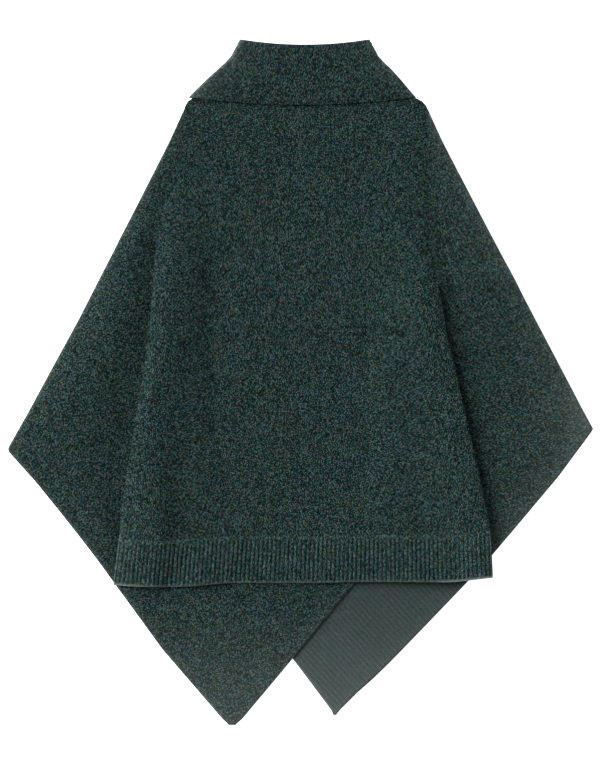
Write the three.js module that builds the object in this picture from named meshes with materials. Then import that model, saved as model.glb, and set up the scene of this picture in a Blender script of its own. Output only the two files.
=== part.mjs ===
// A knitted poncho sweater, laid flat with its back up: a back panel on a ribbed hem, two side panels
// that spread out as wings, a front panel that ends in one long corner, and a folded roll collar.
// Millimetres. X runs across the garment, Y up to its collar and Z up from the surface it lies on.
// The origin is the middle of the laid-out garment's box, on that surface.
import * as THREE from "three";

// Cloth
const WALL = 3;
const SEAM = 0.3;
const LAYER = WALL + SEAM;

// Collar: a tube folded over on itself and pressed flat
const COLLAR_X = 6;
const NECK_Y = 455;
const NECK_HALF = 98;
const FOLD_Y = 505.5;
const FOLD_TOP = 513.5;
const FOLD_HALF = 97;
const FOLD_INSET = 4;
const FOLD_ROUND = 2;
const FOLD_DIP = 8;
const FALL_DIP = 12;
const COLLAR_STRAIGHT_STEPS = 14;
const COLLAR_END_STEPS = 4;
const FALL_SECTIONS = [
  { y: 499, half: 105 },
  { y: 489, half: 110 },
  { y: 480, half: 118 },
  { y: 469, half: 130 },
  { y: 454, half: 145 },
  { y: 439, half: 159 },
  { y: 426.5, half: 170.5 },
];

// Slanted outer edges of the wings
const OUTER_TOP_Y = 364;
const LEFT_TIP = { x: -439.5, y: -101 };
const RIGHT_TIP = { x: 439.5, y: -70 };

// Neck and shoulders, the same on back and front
const SHOULDER_SECTIONS = [
  { y: NECK_Y - SEAM, left: COLLAR_X - NECK_HALF, right: COLLAR_X + NECK_HALF },
  { y: 437, left: -142.5, right: 154.5 },
  { y: 427, left: -154.5, right: 166.5 },
  { y: 426.2, left: -156, right: 168 },
  { y: 425.4, left: -164, right: 176.5 },
  { y: 418, left: -169.5, right: 186 },
  { y: 407, left: -174.5, right: 192.7 },
];

// Back panel, down to the ribs. It is sewn to the wings as far as the top of each slit.
const SLIT_TOP_LEFT = { x: -214.5, y: 226 };
const SLIT_TOP_RIGHT = { x: 206, y: 155 };
const BACK_SECTIONS = [
  ...SHOULDER_SECTIONS,
  { y: 404, left: -172.4, right: 190.2 },
  { y: SLIT_TOP_LEFT.y, left: SLIT_TOP_LEFT.x, right: 194 },
  { y: 196, left: -215.3, right: 198 },
  { y: 169, left: -217.9, right: 203.3 },
  { y: SLIT_TOP_RIGHT.y, left: -219, right: SLIT_TOP_RIGHT.x },
  { y: 107, left: -222.5, right: 214.3 },
  { y: 76, left: -224.8, right: 218.8 },
  { y: -16, left: -238.8, right: 240.5 },
  { y: -131, left: -258.4, right: 266.5 },
  { y: -190, left: -266.5, right: 278 },
  { y: -232, left: -270.7, right: 284.5 },
  { y: -298, left: -279, right: 287.5 },
];

// Heights below which each wing runs on under the back panel
const LEFT_UNDERLAP_Y = 196;
const RIGHT_UNDERLAP_Y = 130;

// Left wing, which runs down to a corner of its own below the hem
const LEFT_SECTIONS = [
  { y: 403.7, left: -175.8, right: -172.8 },
  { y: OUTER_TOP_Y, left: -194, right: -182.2 },
  { y: SLIT_TOP_LEFT.y, left: -264.3, right: -214.8 },
  { y: LEFT_UNDERLAP_Y, left: -279.7, right: -215.6 },
  { y: 160, left: -298.2, right: -190 },
  { y: 93, left: -332.3, right: -188.2 },
  { y: -42, left: -406.1, right: -184.6 },
  { y: LEFT_TIP.y, left: LEFT_TIP.x, right: -183 },
  { y: -150, left: -395.6, right: -175.6 },
  { y: -200, left: -355.2, right: -168 },
  { y: -235, left: -327.7, right: -138 },
  { y: -262, left: -306.9, right: -70 },
  { y: -275, left: -297.3, right: 103.3 },
  { y: -401, left: -205.8, right: -0.6 },
  { y: -506, left: -115, right: -88 },
  { y: -513.5, left: -106, right: -98 },
];

// Right wing, which ends under the hem
const RIGHT_SECTIONS = [
  { y: 403.7, left: 190.6, right: 193.6 },
  { y: OUTER_TOP_Y, left: 191.4, right: 211.8 },
  { y: SLIT_TOP_LEFT.y, left: 194.3, right: 283.7 },
  { y: 196, left: 198.3, right: 299.6 },
  { y: 169, left: 203.6, right: 314 },
  { y: SLIT_TOP_RIGHT.y, left: 206.3, right: 321.3 },
  { y: RIGHT_UNDERLAP_Y, left: 210.7, right: 334.2 },
  { y: 93, left: 180, right: 353.4 },
  { y: 40, left: 162.5, right: 381.2 },
  { y: -42, left: 160.5, right: 424.2 },
  { y: RIGHT_TIP.y, left: 160, right: RIGHT_TIP.x },
  { y: -141, left: 160, right: 387 },
  { y: -222, left: 160.6, right: 318.9 },
  { y: -286, left: 164, right: 263.8 },
];

// Front panel: its left edge leaves the outer line and runs straight to the long corner
const FRONT_SECTIONS = [
  ...SHOULDER_SECTIONS,
  { y: OUTER_TOP_Y, left: -194, right: 211.8 },
  { y: SLIT_TOP_LEFT.y, left: -264.3, right: 283.7 },
  { y: 160, left: -298.2, right: 318.7 },
  { y: 93, left: -332.3, right: 353.4 },
  { y: 50.8, left: -355.2, right: 375.5 },
  { y: RIGHT_TIP.y, left: -269.1, right: RIGHT_TIP.x },
  { y: -141, left: -215.9, right: 387 },
  { y: -222, left: -155.1, right: 318.9 },
  { y: -299, left: -97.3, right: 251.2 },
  { y: -386, left: -32.1, right: 167.6 },
  { y: -420, left: -6.6, right: 134.4 },
  { y: -446, left: 12.9, right: 107.6 },
  { y: -465, left: 27.1, right: 86 },
  { y: -491, left: 46.6, right: 59.8 },
  { y: -498.5, left: 50, right: 54 },
];

// Ribbed hem
const HEM_Y = -303.4;
const HEM_BENDS = [
  { from: -290, to: -220, rise: -2.6 },
  { from: -189, to: -93, rise: 6 },
  { from: 210, to: 310, rise: 8.5 },
];
const RIB_HEIGHT = 70;
const RIB_COUNT = 88;
const RIB_RAISE = 0.9;
const RIB_SHAPE = [0, 1, 1];
const RIB_ROWS = 3;
const LEAN_FROM_Y = -131;

// How an upper cloth comes down past the edge of a lower one
const KEEP = 26;
const COLLAR_KEEP = 12;
const COLLAR_FADE = 90;
const FRONT_FADE = 80;
const WING_FADE = 42;

// How far a cloth stands off the one below it, away from its edges
const PUFF = 0.8;
const PUFF_WIDTH = 60;

// Soft rolls along the back panel's free side edges: each grows from one height to another, and has
// its crest a little way in. The wing below rises with it by its share. Near the hem the left one is
// lower, and its crest is further in.
const LEFT_ROLL = { height: 9, crest: 19, width: 92, edge: 0.25, outside: 26, from: 320, to: 120 };
const RIGHT_ROLL = { height: 10, crest: 10, width: 110, edge: 0.96, outside: 28, from: 230, to: 60 };
const WING_SHARE = 0.5;
const LEFT_AT_HEM = { share: 0.45, reach: 90, crestShift: 18, shiftFrom: -50, shiftTo: -250 };
const HEM_LIFTS = [
  { x: -150, height: 2.6, width: 60, depth: 120 },
  { x: 40, height: 1.6, width: 80, depth: 90 },
  { x: 190, height: 2, width: 70, depth: 110 },
];

// Each wing arches between its outer edge and a line a little outside the back panel's edge, less and
// less towards its lower edge and its shoulder.
const LEFT_HUMP = 9;
const RIGHT_HUMP = 3.5;
const HUMP_GAP = 12;
const HUMP_FROM_Y = 330;
const HUMP_FULL_Y = 100;
const HUMP_END = 70;
const LEFT_LOW_EDGE = [
  [LEFT_TIP.x, LEFT_TIP.y],
  [-297.3, -275],
  [-205.8, -401],
];
const RIGHT_LOW_EDGE = [
  [RIGHT_TIP.x, RIGHT_TIP.y],
  [387, -141],
  [318.9, -222],
  [251.2, -299],
];

// Mesh steps
const ROW_STEP = 24;
const BACK_COLUMNS = 30;
const WING_COLUMNS = 14;
const FRONT_COLUMNS = 16;
const EDGE_CROWDING = 0.4;

function smooth(t) {
  const c = Math.min(1, Math.max(0, t));
  return c * c * (3 - 2 * c);
}

// Reads one column of a section table at height y, straight between its rows and constant past them.
function at(rows, column, y) {
  if (y >= rows[0].y) return rows[0][column];
  for (let i = 1; i < rows.length; i++) {
    const high = rows[i - 1];
    const low = rows[i];
    if (y >= low.y) {
      const t = (high.y - y) / (high.y - low.y);
      return high[column] + (low[column] - high[column]) * t;
    }
  }
  return rows[rows.length - 1][column];
}

function inside(rows, x, y) {
  const within = y <= rows[0].y && y >= rows[rows.length - 1].y;
  return within && x >= at(rows, "left", y) && x <= at(rows, "right", y);
}

function distanceToEdge(start, end, x, y) {
  const [dx, dy] = [end[0] - start[0], end[1] - start[1]];
  const along = ((x - start[0]) * dx + (y - start[1]) * dy) / (dx * dx + dy * dy);
  const t = Math.min(1, Math.max(0, along));
  return Math.hypot(x - start[0] - t * dx, y - start[1] - t * dy);
}

// Distance from a point to the outline of the piece that the table describes.
function distanceToOutline(rows, x, y) {
  const corners = [
    ...rows.map((row) => [row.left, row.y]),
    ...rows.map((row) => [row.right, row.y]).reverse(),
  ];
  const distances = corners.map((corner, i) =>
    distanceToEdge(corner, corners[(i + 1) % corners.length], x, y),
  );
  return Math.min(...distances);
}

// 1 on a piece and close round it, falling to 0 further away.
function cover(rows, x, y, keep, fade) {
  if (inside(rows, x, y)) return 1;
  return smooth(1 - (distanceToOutline(rows, x, y) - keep) / fade);
}

const COLLAR_OUTLINE = FALL_SECTIONS.map(({ y, half }) => ({
  y: y - FALL_DIP,
  left: COLLAR_X - half,
  right: COLLAR_X + half,
}));
const LEFT_UNDERLAP = LEFT_SECTIONS.filter(({ y }) => y <= LEFT_UNDERLAP_Y);
const RIGHT_UNDERLAP = RIGHT_SECTIONS.filter(({ y }) => y <= RIGHT_UNDERLAP_Y);

// Rise of one roll at some distance inside the back panel's edge. Outside it the distance is negative.
function roll(fold, inset, y) {
  const grown = smooth((fold.from - y) / (fold.from - fold.to));
  let across = smooth(1 - (inset - fold.crest) / (fold.width - fold.crest));
  if (inset < fold.crest) {
    across = fold.edge + (1 - fold.edge) * Math.sin(((Math.PI / 2) * inset) / fold.crest);
  }
  if (inset < 0) across = fold.edge * smooth(1 + inset / fold.outside);
  return fold.height * grown * across;
}

function foldRise(x, y) {
  const { share, reach, crestShift, shiftFrom, shiftTo } = LEFT_AT_HEM;
  const shift = crestShift * smooth((shiftFrom - y) / (shiftFrom - shiftTo));
  const leftRoll = { ...LEFT_ROLL, crest: LEFT_ROLL.crest + shift };
  const kept = share + (1 - share) * smooth((y - HEM_Y) / reach);
  const fromLeft = kept * roll(leftRoll, x - at(BACK_SECTIONS, "left", y), y);
  const fromRight = roll(RIGHT_ROLL, at(BACK_SECTIONS, "right", y) - x, y);
  const ending = smooth(1 + (y - HEM_Y) / LEFT_ROLL.outside);
  return (fromLeft + fromRight) * ending;
}

// The front panel lies on the collar's front half near the neck and on the ground below it.
function frontHeight(x, y) {
  return LAYER * cover(COLLAR_OUTLINE, x, y, COLLAR_KEEP, COLLAR_FADE);
}

// Height for whatever lies over the front panel, down to the ground past its edge.
function overFront(x, y) {
  const overCollar = LAYER * cover(COLLAR_OUTLINE, x, y, COLLAR_KEEP + KEEP / 2, COLLAR_FADE);
  return overCollar + LAYER * cover(FRONT_SECTIONS, x, y, KEEP, FRONT_FADE);
}

// A cloth keeps to the one below along its own outline and stands a little off it inside.
function puff(rows, x, y) {
  return PUFF * smooth(distanceToOutline(rows, x, y) / PUFF_WIDTH);
}

// Arch of a wing that is free from its outer edge to the back panel's edge.
function hump(height, outer, inner, lowEdge, x, y) {
  const t = Math.min(1, Math.max(0, (x - outer) / (inner - outer)));
  const grown = smooth((HUMP_FROM_Y - y) / (HUMP_FROM_Y - HUMP_FULL_Y));
  const toLowEdge = lowEdge
    .slice(1)
    .map((corner, i) => distanceToEdge(lowEdge[i], corner, x, y));
  const ending = smooth(Math.min(...toLowEdge) / HUMP_END);
  return height * Math.sin(Math.PI * t) * grown * ending;
}

function wingHeight(rows, x, y) {
  const onFront = cover(FRONT_SECTIONS, x, y, KEEP, FRONT_FADE);
  return overFront(x, y) + onFront * puff(rows, x, y) + WING_SHARE * foldRise(x, y);
}

function leftHeight(x, y) {
  const outer = at(LEFT_SECTIONS, "left", y);
  const inner = at(BACK_SECTIONS, "left", y) - HUMP_GAP;
  const arch = hump(LEFT_HUMP, outer, inner, LEFT_LOW_EDGE, x, y);
  return wingHeight(LEFT_SECTIONS, x, y) + arch;
}

function rightHeight(x, y) {
  const outer = at(RIGHT_SECTIONS, "right", y);
  const inner = at(BACK_SECTIONS, "right", y) + HUMP_GAP;
  const arch = hump(RIGHT_HUMP, outer, inner, RIGHT_LOW_EDGE, x, y);
  return wingHeight(RIGHT_SECTIONS, x, y) + arch;
}

function hemY(x) {
  return HEM_BENDS.reduce(
    (sum, { from, to, rise }) => sum + rise * smooth((x - from) / (to - from)),
    HEM_Y,
  );
}

function hemLift(x, y) {
  return HEM_LIFTS.reduce((sum, { x: middle, height, width, depth }) => {
    const across = smooth(1 - Math.abs(x - middle) / width);
    return sum + height * across * smooth(1 - (y - HEM_Y) / depth);
  }, 0);
}

function backHeight(x, y) {
  const left = cover(LEFT_UNDERLAP, x, y, KEEP, WING_FADE);
  const right = cover(RIGHT_UNDERLAP, x, y, KEEP, WING_FADE);
  const wing = Math.max(left, right) * (LAYER + PUFF);
  const free = 1 - cover(COLLAR_OUTLINE, x, y, 0, COLLAR_FADE);
  const own = free * puff(BACK_SECTIONS, x, y);
  return overFront(x, y) + wing + own + foldRise(x, y) + hemLift(x, y);
}

// Closed mesh of a cloth from two grids of points, its upper and its lower face. A grid's rows run
// down the cloth and each row runs from left to right.
function clothGeometry(upper, lower) {
  const rows = upper.length;
  const columns = upper[0].length;
  const positions = [...upper.flat(2), ...lower.flat(2)];
  const top = (i, j) => i * columns + j;
  const bottom = (i, j) => rows * columns + top(i, j);
  const faces = [];
  for (let i = 0; i + 1 < rows; i++) {
    for (let j = 0; j + 1 < columns; j++) {
      faces.push(top(i, j), top(i + 1, j), top(i, j + 1));
      faces.push(top(i, j + 1), top(i + 1, j), top(i + 1, j + 1));
      faces.push(bottom(i, j), bottom(i, j + 1), bottom(i + 1, j));
      faces.push(bottom(i, j + 1), bottom(i + 1, j + 1), bottom(i + 1, j));
    }
  }
  const rim = [];
  for (let i = 0; i < rows - 1; i++) rim.push([i, 0]);
  for (let j = 0; j < columns - 1; j++) rim.push([rows - 1, j]);
  for (let i = rows - 1; i > 0; i--) rim.push([i, columns - 1]);
  for (let j = columns - 1; j > 0; j--) rim.push([0, j]);
  rim.forEach((here, k) => {
    const next = rim[(k + 1) % rim.length];
    faces.push(top(...here), bottom(...here), bottom(...next));
    faces.push(top(...here), bottom(...next), top(...next));
  });
  const geometry = new THREE.BufferGeometry();
  geometry.setAttribute("position", new THREE.Float32BufferAttribute(positions, 3));
  geometry.setIndex(faces);
  geometry.computeVertexNormals();
  return geometry;
}

// Heights of the mesh rows: every row of the table, and steps between them.
function rowHeights(rows) {
  const heights = [rows[0].y];
  for (let i = 1; i < rows.length; i++) {
    const span = rows[i - 1].y - rows[i].y;
    const steps = Math.max(1, Math.round(span / ROW_STEP));
    for (let k = 1; k <= steps; k++) heights.push(rows[i - 1].y - (span * k) / steps);
  }
  return heights;
}

// Shares of the width, closer together towards both edges.
function sharesAcross(columns) {
  return Array.from({ length: columns + 1 }, (_, j) => {
    const even = j / columns;
    const crowded = 0.5 - 0.5 * Math.cos(Math.PI * even);
    return even + EDGE_CROWDING * (crowded - even);
  });
}

// A plain panel laid out by its section table, on the height that a function gives.
function panel(rows, columns, height, lowerY = (x, y) => y) {
  const upper = [];
  const lower = [];
  rowHeights(rows).forEach((y) => {
    const left = at(rows, "left", y);
    const right = at(rows, "right", y);
    const points = sharesAcross(columns).map((share) => {
      const x = left + (right - left) * share;
      const bentY = lowerY(x, y);
      return [x, bentY, height(x, bentY)];
    });
    lower.push(points);
    upper.push(points.map(([x, y2, z]) => [x, y2, z + WALL]));
  });
  return clothGeometry(upper, lower);
}

// Back panel: its last rows lean to follow the hem line.
function backPanel() {
  const ribTop = (x) => hemY(x) + RIB_HEIGHT + SEAM;
  const lastY = HEM_Y + RIB_HEIGHT;
  const rows = BACK_SECTIONS.filter(({ y }) => y > lastY + 1);
  rows.push({
    y: lastY,
    left: at(BACK_SECTIONS, "left", lastY),
    right: at(BACK_SECTIONS, "right", lastY),
  });
  const lean = (x, y) => {
    const share = Math.max(0, (LEAN_FROM_Y - y) / (LEAN_FROM_Y - lastY));
    return y + (ribTop(x) - lastY) * share;
  };
  return panel(rows, BACK_COLUMNS, backHeight, lean);
}

// Ribbed hem: raised ribs over a plain inside.
function hemRib() {
  const columns = RIB_COUNT * RIB_SHAPE.length;
  const upper = [];
  const lower = [];
  for (let i = 0; i < RIB_ROWS; i++) {
    const down = i / (RIB_ROWS - 1);
    const rowY = HEM_Y + RIB_HEIGHT * (1 - down);
    const left = at(BACK_SECTIONS, "left", rowY);
    const right = at(BACK_SECTIONS, "right", rowY);
    const points = Array.from({ length: columns + 1 }, (_, j) => {
      const x = left + ((right - left) * j) / columns;
      const y = hemY(x) + RIB_HEIGHT * (1 - down);
      return [x, y, backHeight(x, y)];
    });
    lower.push(points);
    upper.push(
      points.map(([x, y, z], j) => {
        const raised = j === columns ? 0 : RIB_SHAPE[j % RIB_SHAPE.length];
        return [x, y, z + WALL - RIB_RAISE * (1 - raised)];
      }),
    );
  }
  return clothGeometry(upper, lower);
}

// One flattened ring round the neck: straight above and below, round at both ends.
function collarRing({ y, half, height, dip }) {
  const straight = half - height;
  const mid = 2 * LAYER - SEAM / 2;
  const ring = [];
  const add = (x, z) => {
    const share = Math.min(1, Math.abs(x / half));
    ring.push([COLLAR_X + x, y - dip * (1 - share * share), mid + z]);
  };
  [1, -1].forEach((side) => {
    for (let k = 0; k < COLLAR_STRAIGHT_STEPS; k++) {
      add(side * straight * ((2 * k) / COLLAR_STRAIGHT_STEPS - 1), side * height);
    }
    for (let k = 0; k < COLLAR_END_STEPS; k++) {
      const turn = (Math.PI * k) / COLLAR_END_STEPS;
      add(side * (straight + height * Math.sin(turn)), side * height * Math.cos(turn));
    }
  });
  return ring;
}

// Roll collar: its wall's outline, from the neck seam up inside, over the fold, down outside and back.
function rollCollar() {
  const standIn = SEAM / 2;
  const standOut = standIn + WALL;
  const fallIn = standOut + SEAM;
  const fallOut = fallIn + WALL;
  const foldMid = (standOut + fallIn) / 2;
  const shoulderY = FOLD_TOP - FOLD_ROUND;
  const outside = FALL_SECTIONS.map(({ y, half }) => ({ y, half, height: fallOut, dip: FALL_DIP }));
  const inside = FALL_SECTIONS.map(({ y, half }) => ({
    y,
    half: half - WALL,
    height: fallIn,
    dip: FALL_DIP,
  })).reverse();
  const section = [
    { y: NECK_Y, half: NECK_HALF, height: standIn, dip: 0 },
    { y: FOLD_Y, half: FOLD_HALF - WALL, height: standIn, dip: FOLD_DIP },
    { y: shoulderY, half: FOLD_HALF - FOLD_INSET, height: standIn + FOLD_ROUND / 2, dip: FOLD_DIP },
    { y: FOLD_TOP, half: FOLD_HALF - FOLD_INSET, height: foldMid, dip: FOLD_DIP },
    { y: shoulderY, half: FOLD_HALF, height: fallOut - FOLD_ROUND / 2, dip: FOLD_DIP },
    { y: FOLD_Y, half: FOLD_HALF + WALL, height: fallOut, dip: FOLD_DIP },
    ...outside,
    ...inside,
    { y: FOLD_Y - WALL, half: FOLD_HALF + SEAM, height: foldMid, dip: FOLD_DIP },
    { y: NECK_Y, half: NECK_HALF + WALL, height: standOut, dip: 0 },
  ];
  const rings = section.map(collarRing);
  const size = rings[0].length;
  const faces = [];
  rings.forEach((ring, i) => {
    const nextRing = (i + 1) % rings.length;
    ring.forEach((point, k) => {
      const nextPoint = (k + 1) % size;
      faces.push(i * size + k, nextRing * size + k, i * size + nextPoint);
      faces.push(i * size + nextPoint, nextRing * size + k, nextRing * size + nextPoint);
    });
  });
  const geometry = new THREE.BufferGeometry();
  geometry.setAttribute("position", new THREE.Float32BufferAttribute(rings.flat(2), 3));
  geometry.setIndex(faces);
  geometry.computeVertexNormals();
  return geometry;
}

const MARL = { color: "#273634", roughness: 0.95, metalness: 0 };
const RIBBED = { color: "#2b3838", roughness: 0.95, metalness: 0 };
const REVERSE = { color: "#414b4a", roughness: 0.95, metalness: 0 };

const PIECES = [
  { name: "front_panel", geometry: panel(FRONT_SECTIONS, FRONT_COLUMNS, frontHeight), look: REVERSE },
  { name: "left_side_panel", geometry: panel(LEFT_SECTIONS, WING_COLUMNS, leftHeight), look: MARL },
  { name: "right_side_panel", geometry: panel(RIGHT_SECTIONS, WING_COLUMNS, rightHeight), look: MARL },
  { name: "back_panel", geometry: backPanel(), look: MARL },
  { name: "back_hem_rib", geometry: hemRib(), look: RIBBED },
  { name: "roll_collar", geometry: rollCollar(), look: MARL },
];

const poncho = new THREE.Group();
PIECES.forEach(({ name, geometry, look }) => {
  const mesh = new THREE.Mesh(geometry, new THREE.MeshStandardMaterial(look));
  mesh.name = name;
  poncho.add(mesh);
});

export default poncho;
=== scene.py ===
# Looks of a knitted poncho sweater that lies flat with its back up.
# Metres, in the frame of the solids: X runs across the garment, Y up to its collar, Z up from the
# surface that it lies on. Every piece is a closed shell of cloth on the form of its solid.
import math

import bpy
import numpy as np
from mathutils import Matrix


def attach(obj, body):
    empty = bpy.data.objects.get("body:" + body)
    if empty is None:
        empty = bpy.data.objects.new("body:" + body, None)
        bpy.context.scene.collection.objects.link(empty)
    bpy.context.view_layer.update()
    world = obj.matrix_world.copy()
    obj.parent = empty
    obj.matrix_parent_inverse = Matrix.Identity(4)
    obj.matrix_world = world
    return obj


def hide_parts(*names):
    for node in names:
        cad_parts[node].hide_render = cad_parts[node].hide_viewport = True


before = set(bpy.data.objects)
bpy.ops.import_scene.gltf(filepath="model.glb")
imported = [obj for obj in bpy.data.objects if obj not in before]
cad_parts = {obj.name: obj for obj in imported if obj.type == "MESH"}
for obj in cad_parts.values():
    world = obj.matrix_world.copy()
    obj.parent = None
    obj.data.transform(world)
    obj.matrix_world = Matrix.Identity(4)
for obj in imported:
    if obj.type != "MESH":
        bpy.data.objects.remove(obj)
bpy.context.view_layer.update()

# Cloth
WALL = 0.003
SEAM = 0.0003
LAYER = WALL + SEAM

# Collar: a tube folded over on itself and pressed flat
COLLAR_X = 0.006
NECK_Y = 0.455
NECK_HALF = 0.098
FOLD_TOP = 0.5135
FOLD_HALF = 0.097
FOLD_DIP = 0.008
FALL_DIP = 0.012
# Each row is a height and the fall's half width there.
FALL_ROWS = [
    (0.5055, 0.1010),
    (0.4990, 0.1050),
    (0.4890, 0.1100),
    (0.4800, 0.1180),
    (0.4690, 0.1300),
    (0.4540, 0.1450),
    (0.4390, 0.1590),
    (0.4265, 0.1705),
]
# The fall leans a little: how far its middle lies to the right of the collar's, at the top and below
FALL_LEAN = [(0.470, 0.0010), (0.435, -0.0024)]
# How much thinner the fall's wall is along its lower edge
FALL_EDGE_THINNING = 0.0012

# Cuts of the panels. Each row is a height, the left edge there and the right edge there.
SHOULDER_ROWS = [
    (NECK_Y - SEAM, COLLAR_X - NECK_HALF, COLLAR_X + NECK_HALF),
    (0.4370, -0.1425, 0.1545),
    (0.4270, -0.1545, 0.1665),
    (0.4262, -0.1560, 0.1680),
    (0.4254, -0.1640, 0.1765),
    (0.4180, -0.1695, 0.1860),
    (0.4070, -0.1745, 0.1927),
]
# Tops of the two side slits
SLIT_LEFT_Y = 0.226
SLIT_RIGHT_Y = 0.155
# Heights below which each wing runs on under the back panel
LEFT_UNDERLAP_Y = 0.196
RIGHT_UNDERLAP_Y = 0.130
# How far below a slit's top its edges are fully free
SLIT_FADE = 0.050
BACK_ROWS = SHOULDER_ROWS + [
    (0.4040, -0.1724, 0.1902),
    (SLIT_LEFT_Y, -0.2145, 0.1940),
    (0.1960, -0.2153, 0.1980),
    (0.1690, -0.2179, 0.2033),
    (SLIT_RIGHT_Y, -0.2190, 0.2060),
    (0.1070, -0.2225, 0.2143),
    (0.0760, -0.2248, 0.2188),
    (-0.0160, -0.2388, 0.2405),
    (-0.1310, -0.2584, 0.2665),
    (-0.1900, -0.2665, 0.2780),
    (-0.2320, -0.2707, 0.2845),
    (-0.2980, -0.2790, 0.2875),
]
LEFT_ROWS = [
    (0.4037, -0.1758, -0.1728),
    (0.3640, -0.1940, -0.1822),
    (SLIT_LEFT_Y, -0.2643, -0.2148),
    (LEFT_UNDERLAP_Y, -0.2797, -0.2156),
    (0.1600, -0.2982, -0.1900),
    (0.0930, -0.3323, -0.1882),
    (-0.0420, -0.4061, -0.1846),
    (-0.1010, -0.4395, -0.1830),
    (-0.1500, -0.3956, -0.1756),
    (-0.2000, -0.3552, -0.1680),
    (-0.2350, -0.3277, -0.1380),
    (-0.2620, -0.3069, -0.0700),
    (-0.2750, -0.2973, 0.1033),
    (-0.4010, -0.2058, -0.0006),
    (-0.5060, -0.1150, -0.0880),
    (-0.5135, -0.1060, -0.0980),
]
RIGHT_ROWS = [
    (0.4037, 0.1906, 0.1936),
    (0.3640, 0.1914, 0.2118),
    (SLIT_LEFT_Y, 0.1943, 0.2837),
    (0.1960, 0.1983, 0.2996),
    (0.1690, 0.2036, 0.3140),
    (SLIT_RIGHT_Y, 0.2063, 0.3213),
    (RIGHT_UNDERLAP_Y, 0.2107, 0.3342),
    (0.0930, 0.1800, 0.3534),
    (0.0400, 0.1625, 0.3812),
    (-0.0420, 0.1605, 0.4242),
    (-0.0700, 0.1600, 0.4395),
    (-0.1410, 0.1600, 0.3870),
    (-0.2220, 0.1606, 0.3189),
    (-0.2860, 0.1640, 0.2638),
]
FRONT_ROWS = SHOULDER_ROWS + [
    (0.3640, -0.1940, 0.2118),
    (SLIT_LEFT_Y, -0.2643, 0.2837),
    (0.1600, -0.2982, 0.3187),
    (0.0930, -0.3323, 0.3534),
    (0.0508, -0.3552, 0.3755),
    (-0.0700, -0.2691, 0.4395),
    (-0.1410, -0.2159, 0.3870),
    (-0.2220, -0.1551, 0.3189),
    (-0.2990, -0.0973, 0.2512),
    (-0.3860, -0.0321, 0.1676),
    (-0.4200, -0.0066, 0.1344),
    (-0.4460, 0.0129, 0.1076),
    (-0.4650, 0.0271, 0.0860),
    (-0.4910, 0.0466, 0.0598),
    (-0.4985, 0.0500, 0.0540),
]

# Ribbed hem
HEM_Y = -0.3034
# Bends of the hem line, from left to right: where each starts and ends, and its rise
HEM_BENDS = [
    (-0.290, -0.220, -0.0026),
    (-0.189, -0.093, 0.0060),
    (0.020, 0.080, 0.0014),
    (0.210, 0.310, 0.0085),
]
RIB_HEIGHT = 0.070
RIB_COUNT = 88
RIB_COLUMNS = 8
RIB_RELIEF = 0.0012
LEAN_FROM_Y = -0.131

# How an upper cloth comes down past the edge of a lower one
KEEP = 0.026
COLLAR_KEEP = 0.012
COLLAR_FADE = 0.090
FRONT_FADE = 0.080
WING_FADE = 0.042
PUFF = 0.0008
PUFF_WIDTH = 0.060
# How much of the back's rolls the wings under it share well below their slits
LEFT_SHARE = 0.5
RIGHT_SHARE = 0.25
SHARE_FADE = 0.120
# How far above that height the back begins to rise over a wing
LAP_FADE = 0.085

# Light: where it comes from, and how bright it and the surroundings are
SUN_FROM = (-0.80, 0.46, 0.43)
SUN_STRENGTH = 5.75
SUN_SPREAD = 40
SKY_STRENGTH = 0.345

# Camera: straight above, with the photograph's frame on the cloth
FRAME_HEIGHT = 1.1475
LENS = 100
SENSOR = 36

# Floor: its half size, how far it is under the cloth, and how much light of its own it gives
FLOOR_REACH = 20
FLOOR_GAP = 0.0005
FLOOR_GLOW = 0.95


def smooth(t):
    clipped = np.clip(t, 0, 1)
    return clipped * clipped * (3 - 2 * clipped)


class Cut:
    """A knitted piece laid flat, as its left and right edge at each height."""

    def __init__(self, rows, rounding=0.004):
        table = np.array(rows)
        self.rounding = rounding
        self.top = table[0, 0]
        self.bottom = table[-1, 0]
        self.fallen = -table[:, 0]
        self.sides = {"left": table[:, 1], "right": table[:, 2]}
        self.corners = np.concatenate([table[:, [1, 0]], table[::-1][:, [2, 0]]])

    def side(self, name, y):
        return np.interp(-y, self.fallen, self.sides[name])

    def soft_side(self, name, y):
        """The same edge with its corners rounded."""
        taps = np.linspace(-self.rounding, self.rounding, 7)
        return np.mean([self.side(name, y + tap) for tap in taps], axis=0)

    def contains(self, x, y):
        within = (y <= self.top) & (y >= self.bottom)
        return within & (x >= self.side("left", y)) & (x <= self.side("right", y))

    def distance(self, x, y):
        return distance_to_line(np.concatenate([self.corners, self.corners[:1]]), x, y)

    def area(self):
        x, y = self.corners.T
        return abs(np.sum(x * np.roll(y, -1) - y * np.roll(x, -1))) / 2

    def smallest_rectangle(self):
        """Width and length of the smallest rectangle that the flat cut fits in."""
        best = None
        for angle in np.radians(np.arange(0, 90, 1)):
            turned = self.corners @ np.array(
                [[math.cos(angle), -math.sin(angle)], [math.sin(angle), math.cos(angle)]]
            )
            size = np.ptp(turned, axis=0)
            if best is None or size.prod() < best.prod():
                best = size
        return float(best.min()), float(best.max())


def distance_to_line(points, x, y):
    """Distance from each (x, y) to a line through the points."""
    nearest = np.full(np.shape(x), np.inf)
    for start, end in zip(points[:-1], points[1:]):
        run = end - start
        along = ((x - start[0]) * run[0] + (y - start[1]) * run[1]) / max(run @ run, 1e-12)
        t = np.clip(along, 0, 1)
        gap = np.hypot(x - start[0] - t * run[0], y - start[1] - t * run[1])
        nearest = np.minimum(nearest, gap)
    return nearest


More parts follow.
